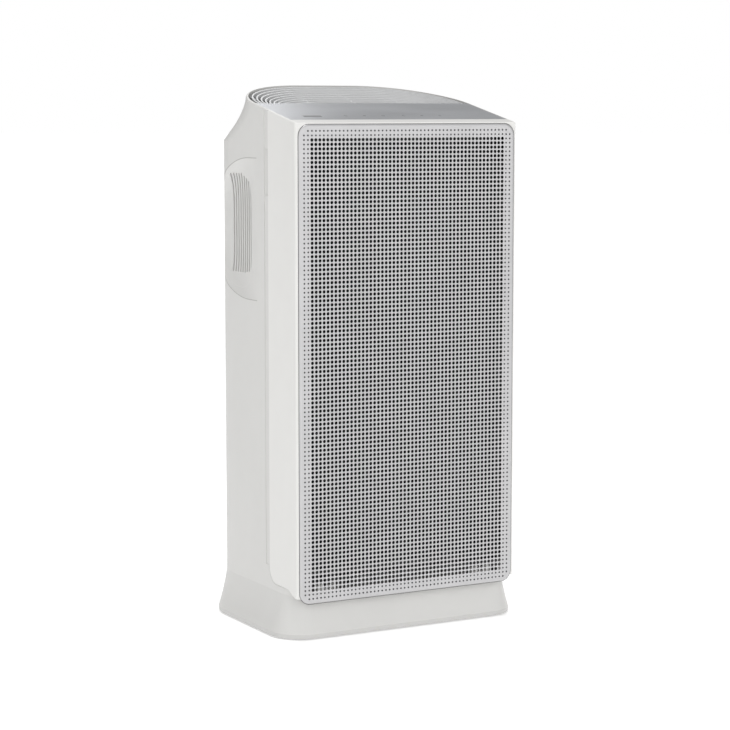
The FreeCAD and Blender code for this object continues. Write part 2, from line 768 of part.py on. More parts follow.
def turned(points):
    """Revolves a closed outline of (radius, depth) points about the fan's axis."""
    corners = [V(radius, y_at(depth), FAN_Z) for radius, depth in points]
    face = Part.Face(Part.makePolygon(corners + corners[:1]))
    return face.revolve(V(0, 0, FAN_Z), V(0, 1, 0), 360)


def inlet_ring():
    """Bell mouth that leads air into the impeller's eye."""
    return turned(
        [
            (INLET_RADIUS + 40, 87.0),
            (INLET_RADIUS + 40, 89.8),
            (INLET_RADIUS + 20, 89.8),
            (INLET_RADIUS + 20, 92.0),
            (INLET_RADIUS + 8, 97.0),
            (INLET_RADIUS + 2.5, 105.0),
            (INLET_RADIUS + 2.5, 118.0),
            (INLET_RADIUS, 118.0),
            (INLET_RADIUS, 103.0),
            (INLET_RADIUS + 6, 94.0),
            (INLET_RADIUS + 18, 88.5),
            (INLET_RADIUS + 18, 87.0),
        ]
    )


def finger_guard():
    """Concentric wires joined by spokes, in front of the bell mouth."""
    front = 84.5
    back = 86.5
    guard = turned([(8, front), (16, front), (16, back), (8, back)])
    for radius in (32, 48, 64, 80, 96):
        wire = turned([(radius, front), (radius + 2, front), (radius + 2, back), (radius, back)])
        guard = guard.fuse(wire)
    for index in range(8):
        spoke = box(12, INLET_RADIUS + 30, front, back, FAN_Z - 1.2, FAN_Z + 1.2)
        spoke.rotate(V(0, 0, FAN_Z), V(0, 1, 0), 45 * index + 22.5)
        guard = guard.fuse(spoke)
    return guard.removeSplitter()


def scroll_point(angle, offset):
    """Point on the scroll's spiral; the angle runs from the tongue, in degrees."""
    radius = 127.0 + 43.0 * angle / 270.0 + offset
    turn = math.radians(30.0 - angle)
    front = y_at(DIVIDER_FRONT + DIVIDER_THICK + 0.3)
    return V(radius * math.cos(turn), front, FAN_Z + radius * math.sin(turn))


def scroll_wall():
    """Spiral wall with a straight duct that leads the air up to the outlets."""
    steps = [30 * index for index in range(8)]
    inner = Part.BSplineCurve()
    inner.interpolate([scroll_point(angle, 0.0) for angle in steps])
    outer = Part.BSplineCurve()
    outer.interpolate([scroll_point(angle, 2.5) for angle in steps])
    duct_top = 500.0
    in_end = scroll_point(steps[-1], 0.0)
    out_end = scroll_point(steps[-1], 2.5)
    in_top = V(-168.0, in_end.y, duct_top)
    out_top = V(-170.5, in_end.y, duct_top)
    in_start = scroll_point(0, 0.0)
    out_start = scroll_point(0, 2.5)
    tongue_in = V(168.0, in_end.y, duct_top)
    tongue_out = V(170.5, in_end.y, duct_top - 2)
    edges = [
        inner.toShape(),
        Part.makeLine(in_end, in_top),
        Part.makeLine(in_top, out_top),
        Part.makeLine(out_top, out_end),
        outer.toShape(),
        Part.makeLine(out_start, tongue_out),
        Part.makeLine(tongue_out, tongue_in),
        Part.makeLine(tongue_in, in_start),
    ]
    wire = Part.Wire(Part.__sortEdges__(edges))
    long = SCROLL_BACK - DIVIDER_FRONT - DIVIDER_THICK - 0.6
    return Part.Face(wire).extrude(V(0, long, 0))


def scroll_back_plate():
    plate = box(-172, 172, SCROLL_BACK, SCROLL_BACK + 3, 150, 500)
    for x, z in POST_PLACES:
        plate = plate.cut(cylinder_y(1.75, 200, 240, x, z))
    plate = plate.cut(cylinder_y(16, 200, 240, 0, FAN_Z))
    for x, z in motor_ear_places():
        plate = plate.cut(cylinder_y(1.75, 200, 240, x, z))
    return plate


def motor_ear_places():
    places = []
    for index in range(4):
        turn = math.radians(45 + 90 * index)
        x = MOTOR_EAR_RADIUS * math.cos(turn)
        places.append((x, FAN_Z + MOTOR_EAR_RADIUS * math.sin(turn)))
    return places


def scroll_posts():
    """Four posts from the rear wall that carry the scroll's back plate."""
    posts = []
    for x, z in POST_PLACES:
        posts.append(cylinder_y(5, SCROLL_BACK + 3, 262, x, z))
    return posts


def blade(index):
    """Backward-curved strip between the hub disc and the shroud."""
    inner_radius = 60.0
    outer_radius = IMPELLER_RADIUS - 1.5
    sweep = 38.0
    thick = 1.1
    curves = []
    for offset in (-thick, thick):
        points = []
        for step in range(4):
            part = step / 3
            radius = inner_radius + (outer_radius - inner_radius) * part
            turn = math.radians(sweep * part ** 0.8) + offset / radius
            x = radius * math.cos(turn)
            points.append(V(x, y_at(IMPELLER_FRONT), FAN_Z + radius * math.sin(turn)))
        curve = Part.BSplineCurve()
        curve.interpolate(points)
        curves.append((curve.toShape(), points[0], points[-1]))
    ends = [
        Part.makeLine(curves[0][1], curves[1][1]),
        Part.makeLine(curves[0][2], curves[1][2]),
    ]
    wire = Part.Wire(Part.__sortEdges__([curves[0][0], curves[1][0]] + ends))
    strip = Part.Face(wire).extrude(V(0, IMPELLER_BACK - IMPELLER_FRONT, 0))
    strip.rotate(V(0, 0, FAN_Z), V(0, 1, 0), 360.0 * index / BLADE_COUNT)
    return strip


def impeller():
    """Hub, disc, shroud and blades moulded as one."""
    eye = INLET_RADIUS + 6
    shroud = turned(
        [
            (eye, IMPELLER_FRONT),
            (eye + 2, IMPELLER_FRONT),
            (eye + 4, 122.0),
            (IMPELLER_RADIUS, 134.0),
            (IMPELLER_RADIUS, 136.2),
            (eye + 2.4, 124.0),
            (eye, 114.0),
        ]
    )
    disc = turned(
        [
            (SHAFT_RADIUS, IMPELLER_BACK - 2.5),
            (IMPELLER_RADIUS, IMPELLER_BACK - 2.5),
            (IMPELLER_RADIUS, IMPELLER_BACK),
            (SHAFT_RADIUS, IMPELLER_BACK),
        ]
    )
    hub = turned([(SHAFT_RADIUS, 186), (14, 186), (30, 204), (14, 212), (SHAFT_RADIUS, 212)])
    room = turned(
        [
            (50, 122.5),
            (eye + 1, 122.5),
            (eye + 3, 124.2),
            (IMPELLER_RADIUS, 135.5),
            (IMPELLER_RADIUS, 204.5),
            (50, 204.5),
        ]
    )
    wheel = hub.fuse([disc, shroud])
    for index in range(BLADE_COUNT):
        wheel = wheel.fuse(blade(index).common(room))
    return wheel.removeSplitter()


def impeller_nut():
    hexagon = []
    for index in range(7):
        turn = math.radians(60 * index)
        hexagon.append(V(7.5 * math.cos(turn), y_at(178), FAN_Z + 7.5 * math.sin(turn)))
    nut = Part.Face(Part.makePolygon(hexagon)).extrude(V(0, 8, 0))
    return nut.cut(cylinder_y(SHAFT_RADIUS, 170, 190, 0, FAN_Z))


def motor_shaft():
    return cylinder_y(SHAFT_RADIUS, 174, 265.3, 0, FAN_Z)


def motor_front_cap():
    front = MOTOR_FRONT
    cap = turned(
        [
            (11, front),
            (MOTOR_RADIUS, front),
            (MOTOR_RADIUS, front + 6),
            (MOTOR_RADIUS - 3, front + 6),
            (MOTOR_RADIUS - 3, front + 2.5),
            (14, front + 2.5),
            (14, front + 9),
            (11, front + 9),
        ]
    )
    for x, z in motor_ear_places():
        cap = cap.fuse(cylinder_y(12, front, front + 2.5, x, z))
    for x, z in motor_ear_places():
        cap = cap.cut(cylinder_y(4.0, front - 5, front + 10, x, z))
    return cap.removeSplitter()


def motor_rear_cup():
    front = MOTOR_FRONT + 6
    back = MOTOR_FRONT + MOTOR_LENGTH
    return turned(
        [
            (MOTOR_RADIUS - 3, front),
            (MOTOR_RADIUS, front),
            (MOTOR_RADIUS, back),
            (0, back),
            (0, back - 1.0),
            (6, back - 1.0),
            (6, back - 2.5),
            (11, back - 2.5),
            (11, back - 9.5),
            (14, back - 9.5),
            (14, back - 2.5),
            (MOTOR_RADIUS - 3, back - 2.5),
        ]
    )


def motor_bearings():
    back = MOTOR_FRONT + MOTOR_LENGTH
    rings = []
    bore = SHAFT_RADIUS + RUNNING
    for front in (MOTOR_FRONT + 1, back - 9.5):
        rings.append(turned([(bore, front), (11, front), (11, front + 7), (bore, front + 7)]))
    return Part.makeCompound(rings)


def motor_stator():
    front = MOTOR_FRONT + 11
    back = front + 16
    rim = MOTOR_RADIUS - 3
    return turned([(27, front), (rim, front), (rim, back), (27, back)])


def motor_rotor():
    front = MOTOR_FRONT + 11
    back = front + 16
    return turned([(SHAFT_RADIUS, front), (26, front), (26, back), (SHAFT_RADIUS, back)])


def motor_grommets():
    """Rubber sleeves that keep the motor's hum out of the scroll."""
    sleeves = []
    for x, z in motor_ear_places():
        outer = cylinder_y(7, SCROLL_BACK + 3, MOTOR_FRONT, x, z)
        outer = outer.fuse(cylinder_y(4.0, MOTOR_FRONT, MOTOR_FRONT + 2.5, x, z))
        outer = outer.fuse(cylinder_y(7, MOTOR_FRONT + 2.5, MOTOR_FRONT + 5, x, z))
        sleeves.append(outer.cut(cylinder_y(1.9, 200, 260, x, z)))
    return Part.makeCompound(sleeves)


def motor_screws():
    screws = []
    for x, z in motor_ear_places():
        head = cylinder_y(4.0, MOTOR_FRONT + 5, MOTOR_FRONT + 7.5, x, z)
        shank = cylinder_y(1.7, SCROLL_BACK, MOTOR_FRONT + 5, x, z)
        screws.append(head.fuse(shank))
    return Part.makeCompound(screws)


def control_box():
    low = PAN_FLOOR_Z
    outer = box(-95, 75, 105, 215, low, low + 41)
    room = box(-93, 73, 107, 213, low + 2, low + 39)
    cable_hole = box(60, 80, 200, 208, low + 19, low + 27)
    return outer.cut(room).cut(cable_hole)


def power_board():
    """Circuit board on four posts; its transformer, capacitors and connectors are plain blocks."""
    floor = PAN_FLOOR_Z + 2
    under = floor + 5
    top = under + 1.6
    board = box(-90, 70, 110, 210, under, top)
    parts = [
        box(-80, -52, 120, 150, top, top + 22.4),
        box(-40, -18, 118, 142, top, top + 20.4),
        cylinder_z(9, top, top + 26.4, 10, 140),
        cylinder_z(7, top, top + 20.4, 34, 150),
        box(-70, -20, 176, 196, top, top + 8.4),
        box(0, 50, 178, 190, top, top + 6.4),
    ]
    posts = [cylinder_z(3, floor, under, x, depth) for x in (-84, 64) for depth in (116, 204)]
    return board.fuse(parts + posts)


def power_inlet():
    """Two-pin appliance socket, open to the back."""
    low_x = INLET_X - INLET_HALF_WIDTH + 0.3
    high_x = INLET_X + INLET_HALF_WIDTH - 0.3
    low_z = INLET_Z - INLET_HALF_HEIGHT + 0.3
    high_z = INLET_Z + INLET_HALF_HEIGHT - 0.3
    body = box(low_x, high_x, 268, 292.5, low_z, high_z)
    mouth = box(INLET_X - 10.5, INLET_X + 10.5, 276, 300, INLET_Z - 6, INLET_Z + 6)
    body = body.cut(mouth)
    for x in (INLET_X - 4.5, INLET_X + 4.5):
        body = body.fuse(cylinder_y(1.2, 274, 288, x, INLET_Z))
    return body


def display_board():
    column = box(-140, 120, 34, 72, 600, SKY_Z)
    return column.common(top_slab(5.0, 1.6))


def display_carrier():
    """Tray under the deck that holds the display board."""
    column = box(-150, 130, 28, 80, 600, SKY_Z)
    hollow = box(-145, 125, 32, 76, 600, SKY_Z)
    tray = column.common(top_slab(3.0, 6.0))
    return tray.cut(hollow.common(top_slab(2.0, 5.5)))


def sensor_module():
    low = SENSOR_LOW_Z + 3
    high = SENSOR_TOP_Z - 3
    shell = box(150, 170, SENSOR_FRONT + 3, SENSOR_BACK - 3, low, high)
    shell = shell.fuse(box(170, HALF_WIDTH - WALL, SENSOR_BACK + 1, SENSOR_BACK + 8, 125, 165))
    shell = shell.fuse(box(160, 172, SENSOR_BACK - 4, SENSOR_BACK + 8, 125, 165))
    duct = cylinder_x(6, 155, 175, 140, 145)
    return shell.cut(duct)


def sensor_door():
    inner = HALF_WIDTH - 2.8
    door = box(inner, HALF_WIDTH, SENSOR_FRONT, SENSOR_BACK, SENSOR_LOW_Z, SENSOR_TOP_Z)
    for index in range(5):
        low = SENSOR_LOW_Z + 12 + index * 7
        door = door.cut(box(170, 190, 134, 156, low, low + 2.4))
    edge = box(HALF_WIDTH - 4, HALF_WIDTH + 1, SENSOR_FRONT - 1, SENSOR_AXIS_DEPTH, 100, 190)
    barrel_room = cylinder_z(1.7, 100, 190, SENSOR_AXIS_X, SENSOR_AXIS_DEPTH)
    door = door.cut(edge.cut(barrel_room))
    low = SENSOR_LOW_Z - 2.5
    high = SENSOR_TOP_Z + 2.5
    pin = cylinder_z(SENSOR_PIN_RADIUS, low, high, SENSOR_AXIS_X, SENSOR_AXIS_DEPTH)
    return door.fuse(pin).removeSplitter()


def interlock_switch():
    """Sealed reed switch that a cover magnet works; nothing on it moves."""
    return box(120, 140, BAY_FRONT + 2, BAY_FRONT + 12, BAY_TOP_Z, BAY_TOP_Z + 8)


def write(name, shape):
    if not shape.isValid():
        print("NOT VALID", name)
    print(name, len(shape.Solids), round(shape.Volume))
    placed = shape.copy()
    placed.translate(V(0, 0, -FLOOR_Z))
    placed.exportStep(os.path.join("parts", name + ".step"))


def main():
    os.makedirs("parts", exist_ok=True)
    form = outer_form()
    inside = shell_body(WALL)
    louvre = side_louvre(inside)
    housing = rear_housing(form).fuse(scroll_posts())
    pieces = {
        "base_pan": base_pan(),
        "base_screws": base_screws(),
        "rubber_feet": rubber_feet(),
        "rear_housing": housing,
        "side_louvre_right": louvre,
        "side_louvre_left": mirrored(louvre),
        "front_cover": front_cover(form),
        "cover_pivot_pins": cover_pivot_pins(),
        "front_grille": front_grille(),
        "cover_magnets": cover_magnets(),
        "catch_plates": catch_plates(),
        "top_deck": top_deck(),
        "display_carrier": display_carrier(),
        "display_board": display_board(),
        "top_outlet_grille": top_outlet_grille(),
        "filter_bay": filter_bay(),
        "bay_screws": bay_screws(),
        "pre_filter_frame": pre_filter_frame(),
        "pre_filter_mesh": pre_filter_mesh(),
        "carbon_filter": carbon_filter(),
        "hepa_frame": hepa_frame(),
        "hepa_pleats": hepa_pleats(),
        "filter_pull_tabs": filter_pull_tabs(),
        "divider_panel": divider_panel(),
        "divider_screws": divider_screws(),
        "inlet_ring": inlet_ring(),
        "finger_guard": finger_guard(),
        "scroll_wall": scroll_wall(),
        "scroll_back_plate": scroll_back_plate(),
        "impeller": impeller(),
        "impeller_nut": impeller_nut(),
        "motor_shaft": motor_shaft(),
        "motor_front_cap": motor_front_cap(),
        "motor_rear_cup": motor_rear_cup(),
        "motor_bearings": motor_bearings(),
        "motor_stator": motor_stator(),
        "motor_rotor": motor_rotor(),
        "motor_grommets": motor_grommets(),
        "motor_screws": motor_screws(),
        "control_box": control_box(),
        "power_board": power_board(),
        "power_inlet": power_inlet(),
        "sensor_module": sensor_module(),
        "sensor_door": sensor_door(),
        "interlock_switch": interlock_switch(),
    }
    for name, shape in pieces.items():
        write(name, shape)


main()
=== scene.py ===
import math

import bpy
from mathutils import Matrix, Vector
from mathutils.geometry import tessellate_polygon


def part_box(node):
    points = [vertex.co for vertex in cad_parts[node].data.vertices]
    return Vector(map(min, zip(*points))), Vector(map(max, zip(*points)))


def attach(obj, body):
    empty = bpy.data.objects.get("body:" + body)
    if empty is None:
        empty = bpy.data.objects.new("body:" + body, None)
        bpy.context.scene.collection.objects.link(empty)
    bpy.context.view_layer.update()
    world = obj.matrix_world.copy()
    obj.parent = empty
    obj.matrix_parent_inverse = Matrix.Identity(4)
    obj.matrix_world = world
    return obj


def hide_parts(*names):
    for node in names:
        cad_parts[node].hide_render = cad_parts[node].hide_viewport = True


# Looks of a floor-standing air purifier. Metres, +Z up, the perforated front faces -Y.

MM = 0.001
SAME_DIGITS = 7                 # points that agree to this many decimals of a metre are one point

# Camera and light, angles in degrees
CAMERA_PLACE = (-1.5513, -2.8459, 0.7506)
CAMERA_YAW = 28.73
CAMERA_PITCH = 6.70
CAMERA_LENS = 108.15            # millimetres
CAMERA_SENSOR = 36.0
CAMERA_NEAR = 0.1
CAMERA_FAR = 200.0
FLOOR_RADIUS = 60.0
WORLD_DARK = 0.12               # towards the back right
WORLD_BRIGHT = 0.9              # towards the front left
WORLD_BRIGHT_SIDE = (-0.4, -0.87, 0.27)
SUN_STRENGTH = 1.2
SUN_SPREAD = 20
FLOOR_GLOW = 0.25
FLOOR_SIDES = 96
BODY_MIDDLE = (0.0, 0.0, 0.42)
DECK_LEFT = (-0.15, -0.1, 0.75)
# Name, place, what it is aimed at, size, watts
AREA_LIGHTS = (
    ("key_front_left", (-1.6, -2.9, 1.9), BODY_MIDDLE, (1.6, 2.2), 10.0),
    ("fill_front", (1.2, -3.2, 1.4), BODY_MIDDLE, (1.8, 1.8), 8.0),
    ("back_card", (0.25, 1.5, 1.7), DECK_LEFT, (0.9, 0.6), 3.0),
)

# Perforated front
PITCH = 6.2 * MM
COLUMNS = 51
ROWS = 103
BORDER_CELLS = 2                # rows of blind dimples around the open holes
CELL_CORNERS = ((1, 1), (-1, 1), (-1, -1), (1, -1))
LATTICE_DROP = 0.7 * MM         # the hole grid's middle is this far below the sheet's
HOLE_RADIUS = 2.55 * MM
DIMPLE_RADIUS = 1.45 * MM
DIMPLE_DEPTH = 0.9 * MM
SHEET_THICK = 0.7 * MM
HOLE_SIDES = 8                  # open_field is drawn for octagons
HOLE_TURN = 360 / HOLE_SIDES
CORNER_RADIUS = 17 * MM
RIM_ROUND = 3.6 * MM
RIM_STEPS = 6
SEAM = 0.45 * MM                # dark ring in the gap between the sheet and the white cover, painted shade of the gap
SEAM_DROP = 1.6 * MM            # the seam ring starts this far behind the sheet's face
CORNER_STEPS = 10

# Marks printed on the deck
DECK_THICK = 2.5 * MM
MARK_THICK = 0.08 * MM
MARK_DEPTH = 48.5 * MM          # back from the front sheet
MARK_PLACES = (-76.4, -46.2, -15.5, 18.4, 47.7, 78.0)   # millimetres across
MARK_RADIUS = 2.3 * MM
MARK_LINE = 0.55 * MM
RING_STEPS = 28
BAR_LEFT = -145 * MM
BAR_RIGHT = -116.5 * MM
BAR_DEPTH = 45.4 * MM
BAR_HALF = 3.4 * MM

# Painted shadow line along the crease at the rim of each side scoop. Depths are measured back from the front
# sheet
CREASE_THICK = 0.08 * MM
CREASE_HALF = 0.5 * MM
CREASE_STEPS = 40
SCOOP_HEIGHT = 577 * MM         # middle of the scoop above the floor
SCOOP_HALF = 101.9 * MM
SCOOP_START = 124 * MM
SCOOP_MIDDLE = 150 * MM
SCOOP_REACH = 130 * MM          # the rim's arc would close this far behind the middle
SCOOP_END = 267 * MM
BODY_HALF = 180 * MM
BODY_DEPTH = 293 * MM
REAR_RADIUS = 78 * MM

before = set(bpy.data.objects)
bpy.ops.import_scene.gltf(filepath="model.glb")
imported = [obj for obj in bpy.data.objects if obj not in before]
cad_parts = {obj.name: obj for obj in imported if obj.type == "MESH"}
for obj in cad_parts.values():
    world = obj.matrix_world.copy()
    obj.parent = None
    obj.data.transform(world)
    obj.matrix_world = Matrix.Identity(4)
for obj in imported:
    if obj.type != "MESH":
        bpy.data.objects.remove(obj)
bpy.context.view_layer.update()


# ---------------------------------------------------------------- materials


class Paint:
    """Builds one node material around a Principled shader."""

    def __init__(self, name):
        self.material = bpy.data.materials.new(name)
        self.material.use_nodes = True
        self.tree = self.material.node_tree
        self.shader = self.tree.nodes["Principled BSDF"]
        self.place = self.node("ShaderNodeTexCoord").outputs["Object"]

    def node(self, kind, **settings):
        made = self.tree.nodes.new(kind)
        for key, value in settings.items():
            setattr(made, key, value)
        return made

    def link(self, source, target):
        self.tree.links.new(source, target)

    def stretched(self, scale):
        mapping = self.node("ShaderNodeMapping")
        mapping.inputs["Scale"].default_value = scale
        self.link(self.place, mapping.inputs["Vector"])
        return mapping.outputs["Vector"]

    def noise(self, scale, detail=2.0, place=None):
        made = self.node("ShaderNodeTexNoise")
        made.inputs["Scale"].default_value = scale
        made.inputs["Detail"].default_value = detail
        self.link(place or self.place, made.inputs["Vector"])
        return made.outputs["Fac"]

    def cells(self, scale, feature="F1"):
        made = self.node("ShaderNodeTexVoronoi", feature=feature)
        made.inputs["Scale"].default_value = scale
        self.link(self.place, made.inputs["Vector"])
        return made.outputs["Distance"]

    def waves(self, scale, direction):
        made = self.node("ShaderNodeTexWave", bands_direction=direction)
        made.inputs["Scale"].default_value = scale
        self.link(self.place, made.inputs["Vector"])
        return made.outputs["Fac"]

    def spread(self, value, low, high, start=0.0, end=1.0):
        made = self.node("ShaderNodeMapRange")
        made.inputs["From Min"].default_value = start
        made.inputs["From Max"].default_value = end
        made.inputs["To Min"].default_value = low
        made.inputs["To Max"].default_value = high
        self.link(value, made.inputs["Value"])
        return made.outputs["Result"]

    def math(self, operation, first, second):
        made = self.node("ShaderNodeMath", operation=operation)
        for socket, value in zip(made.inputs, (first, second)):
            if isinstance(value, (int, float)):
                socket.default_value = value
            else:
                self.link(value, socket)
        return made.outputs["Value"]

    def mix(self, share, first, second):
        made = self.node("ShaderNodeMix", data_type="RGBA")
        self.link(share, made.inputs[0])
        for socket, value in ((made.inputs[6], first), (made.inputs[7], second)):
            if isinstance(value, tuple):
                socket.default_value = (*value, 1.0)
            else:
                self.link(value, socket)
        return made.outputs[2]

    def edges(self, radius):
        """1 along sharp edges, 0 on flat and gently curved faces."""
        bevel = self.node("ShaderNodeBevel", samples=4)
        bevel.inputs["Radius"].default_value = radius
        own = self.node("ShaderNodeNewGeometry").outputs["Normal"]
        dot = self.node("ShaderNodeVectorMath", operation="DOT_PRODUCT")
        self.link(bevel.outputs["Normal"], dot.inputs[0])
        self.link(own, dot.inputs[1])
        return self.spread(dot.outputs["Value"], 1.0, 0.0, 0.72, 0.98)

    def bump(self, layers, strength=1.0):
        """Layers of (height value, height in metres), from the broadest to the finest."""
        normal = None
        for value, height in layers:
            made = self.node("ShaderNodeBump")
            made.inputs["Strength"].default_value = strength
            made.inputs["Distance"].default_value = height
            self.link(value, made.inputs["Height"])
            if normal is not None:
                self.link(normal, made.inputs["Normal"])
            normal = made.outputs["Normal"]
        self.link(normal, self.shader.inputs["Normal"])

    def finish(self, colour, roughness, metallic=0.0, specular=0.5, sheen=0.0):
        self.link(colour, self.shader.inputs["Base Color"])
        self.link(roughness, self.shader.inputs["Roughness"])
        self.shader.inputs["Metallic"].default_value = metallic
        self.shader.inputs["Specular IOR Level"].default_value = specular
        self.shader.inputs["Sheen Weight"].default_value = sheen
        return self.material


def shade(colour, factor):
    return tuple(min(1.0, channel * factor) for channel in colour)


def moulded(name, colour, roughness, grain=900.0, height=0.02 * MM, wear=1.05):
    """Injection-moulded plastic: faint flow marks, a fine eroded grain and slightly rubbed edges."""
    paint = Paint(name)
    flow = paint.noise(5.0, 3.0, paint.stretched((1.0, 1.0, 0.35)))
    grain_value = paint.noise(grain, 2.0)
    smudges = paint.noise(38.0, 4.0)
    base = paint.mix(paint.spread(flow, 0.0, 1.0, 0.3, 0.7), shade(colour, 0.975), shade(colour, 1.015))
    base = paint.mix(paint.spread(smudges, 0.0, 0.25, 0.45, 0.75), base, shade(colour, 0.955))
    rubbed = paint.math("MULTIPLY", paint.edges(0.9 * MM), paint.spread(smudges, 0.2, 0.8, 0.3, 0.7))
    base = paint.mix(rubbed, base, shade(colour, wear))
    rough = paint.math(
        "ADD",
        paint.spread(smudges, roughness - 0.05, roughness + 0.07),
        paint.spread(grain_value, -0.03, 0.03),
    )
    paint.bump([(flow, 0.05 * MM), (grain_value, height)], 0.6)
    return paint.finish(base, rough)


def satin_metal(name, colour, roughness):
    """Fine-grained anodised sheet with soft mottling and brighter edges."""
    paint = Paint(name)
    grain = paint.noise(1400.0, 2.0, paint.stretched((1.0, 1.0, 0.12)))
    mottle = paint.noise(26.0, 4.0)
    base = paint.mix(paint.spread(mottle, 0.0, 1.0, 0.3, 0.7), shade(colour, 0.95), shade(colour, 1.03))
    base = paint.mix(paint.spread(grain, 0.0, 0.35, 0.4, 0.8), base, shade(colour, 0.9))
    base = paint.mix(paint.edges(0.35 * MM), base, shade(colour, 1.15))
    rough = paint.math(
        "ADD",
        paint.spread(mottle, roughness - 0.04, roughness + 0.05),
        paint.spread(grain, -0.04, 0.04),
    )
    paint.bump([(grain, 0.01 * MM)], 0.5)
    return paint.finish(base, rough, metallic=1.0)


def metal_lacquer(name, colour, roughness):
    """Silver lacquer over plastic: tiny flakes in a clear coat, faint wipe marks."""
    paint = Paint(name)
    flakes = paint.cells(2600.0)
    wipe = paint.noise(14.0, 5.0, paint.stretched((0.4, 1.6, 1.0)))
    base = paint.mix(paint.spread(wipe, 0.0, 1.0, 0.3, 0.7), shade(colour, 0.96), shade(colour, 1.04))
    base = paint.mix(paint.spread(flakes, 0.35, 0.0, 0.0, 0.6), base, shade(colour, 1.25))
    base = paint.mix(paint.edges(0.6 * MM), base, shade(colour, 1.2))
    rough = paint.math(
        "ADD",
        paint.spread(wipe, roughness - 0.04, roughness + 0.06),
        paint.spread(flakes, -0.03, 0.03),
    )
    paint.bump([(wipe, 0.01 * MM), (flakes, 0.004 * MM)], 0.4)
    return paint.finish(base, rough, metallic=0.75)


def steel(name, colour, roughness):
    """Turned or plated steel: fine tool marks, dull patches and bright edges."""
    paint = Paint(name)
    marks = paint.waves(700.0, "Y")
    patches = paint.noise(220.0, 4.0)
    base = paint.mix(paint.spread(patches, 0.0, 1.0, 0.3, 0.7), shade(colour, 0.85), shade(colour, 1.08))
    base = paint.mix(paint.edges(0.3 * MM), base, shade(colour, 1.3))
    rough = paint.spread(patches, roughness - 0.08, roughness + 0.1)
    paint.bump([(patches, 0.02 * MM), (marks, 0.01 * MM)], 0.4)
    return paint.finish(base, rough, metallic=1.0)


def rubber(name, colour):
    paint = Paint(name)
    dust = paint.noise(160.0, 4.0)
    fine = paint.noise(1500.0, 2.0)
    base = paint.mix(paint.spread(dust, 0.0, 0.6, 0.45, 0.75), colour, shade(colour, 2.4))
    base = paint.mix(paint.edges(0.7 * MM), base, shade(colour, 1.8))
    paint.bump([(fine, 0.03 * MM)], 0.6)
    return paint.finish(base, paint.spread(dust, 0.7, 0.9), specular=0.3)


def open_mesh(name, colour):
    """Washable pre-filter: a plain weave of threads about a millimetre apart."""
    paint = Paint(name)
    across = paint.waves(160.0, "X")
    upright = paint.waves(160.0, "Z")
    weave = paint.math("MAXIMUM", across, upright)
    lint = paint.noise(60.0, 5.0)
    base = paint.mix(paint.spread(weave, 0.0, 1.0, 0.5, 0.9), shade(colour, 0.3), shade(colour, 1.4))
    base = paint.mix(paint.spread(lint, 0.0, 0.3, 0.6, 0.8), base, (0.09, 0.088, 0.085))
    paint.bump([(weave, 0.25 * MM)])
    return paint.finish(base, paint.spread(lint, 0.75, 0.95), specular=0.2)


def granules(name, colour):
    """Carbon granules held in a core."""
    paint = Paint(name)
    grains = paint.cells(420.0)
    dust = paint.noise(90.0, 4.0)
    base = paint.mix(paint.spread(grains, 0.0, 1.0, 0.1, 0.6), shade(colour, 1.6), shade(colour, 0.4))
    base = paint.mix(paint.spread(dust, 0.0, 0.4, 0.5, 0.8), base, shade(colour, 2.2))
    paint.bump([(grains, 0.8 * MM)])
    return paint.finish(base, paint.spread(dust, 0.7, 0.95), specular=0.25)


def fibre_paper(name, colour):
    """Pleated glass-fibre paper with crossing fibres and a little grey dust."""
    paint = Paint(name)
    fibres = paint.noise(700.0, 5.0, paint.stretched((1.0, 1.0, 0.15)))
    dust = paint.noise(22.0, 5.0)
    base = paint.mix(paint.spread(fibres, 0.0, 1.0, 0.3, 0.7), shade(colour, 0.93), shade(colour, 1.04))
    base = paint.mix(paint.spread(dust, 0.0, 0.35, 0.45, 0.8), base, shade(colour, 0.72))
    paint.bump([(fibres, 0.06 * MM)], 0.7)
    return paint.finish(base, paint.spread(fibres, 0.8, 0.95), specular=0.2)


def woven_tape(name, colour):
    paint = Paint(name)
    warp = paint.waves(260.0, "X")
    weft = paint.waves(260.0, "Z")
    weave = paint.math("MAXIMUM", warp, weft)
    fuzz = paint.noise(300.0, 4.0)
    base = paint.mix(paint.spread(weave, 0.0, 1.0, 0.4, 0.9), shade(colour, 0.55), shade(colour, 1.2))
    base = paint.mix(paint.spread(fuzz, 0.0, 0.3, 0.5, 0.8), base, shade(colour, 1.7))
    paint.bump([(weave, 0.15 * MM)])
    return paint.finish(base, paint.spread(fuzz, 0.75, 0.95), specular=0.2, sheen=0.3)


def circuit_board(name, colour):
    """Green lacquer over copper tracks."""
    paint = Paint(name)
    tracks = paint.cells(160.0, "DISTANCE_TO_EDGE")
    on_track = paint.spread(tracks, 1.0, 0.0, 0.02, 0.08)
    patches = paint.noise(120.0, 3.0)
    base = paint.mix(on_track, colour, shade(colour, 1.9))
    base = paint.mix(paint.spread(patches, 0.0, 0.3, 0.5, 0.8), base, shade(colour, 0.6))
    base = paint.mix(paint.edges(0.4 * MM), base, (0.36, 0.33, 0.2))
    paint.bump([(on_track, 0.04 * MM)])
    return paint.finish(base, paint.spread(patches, 0.25, 0.45))


WHITE = (0.80, 0.795, 0.775)

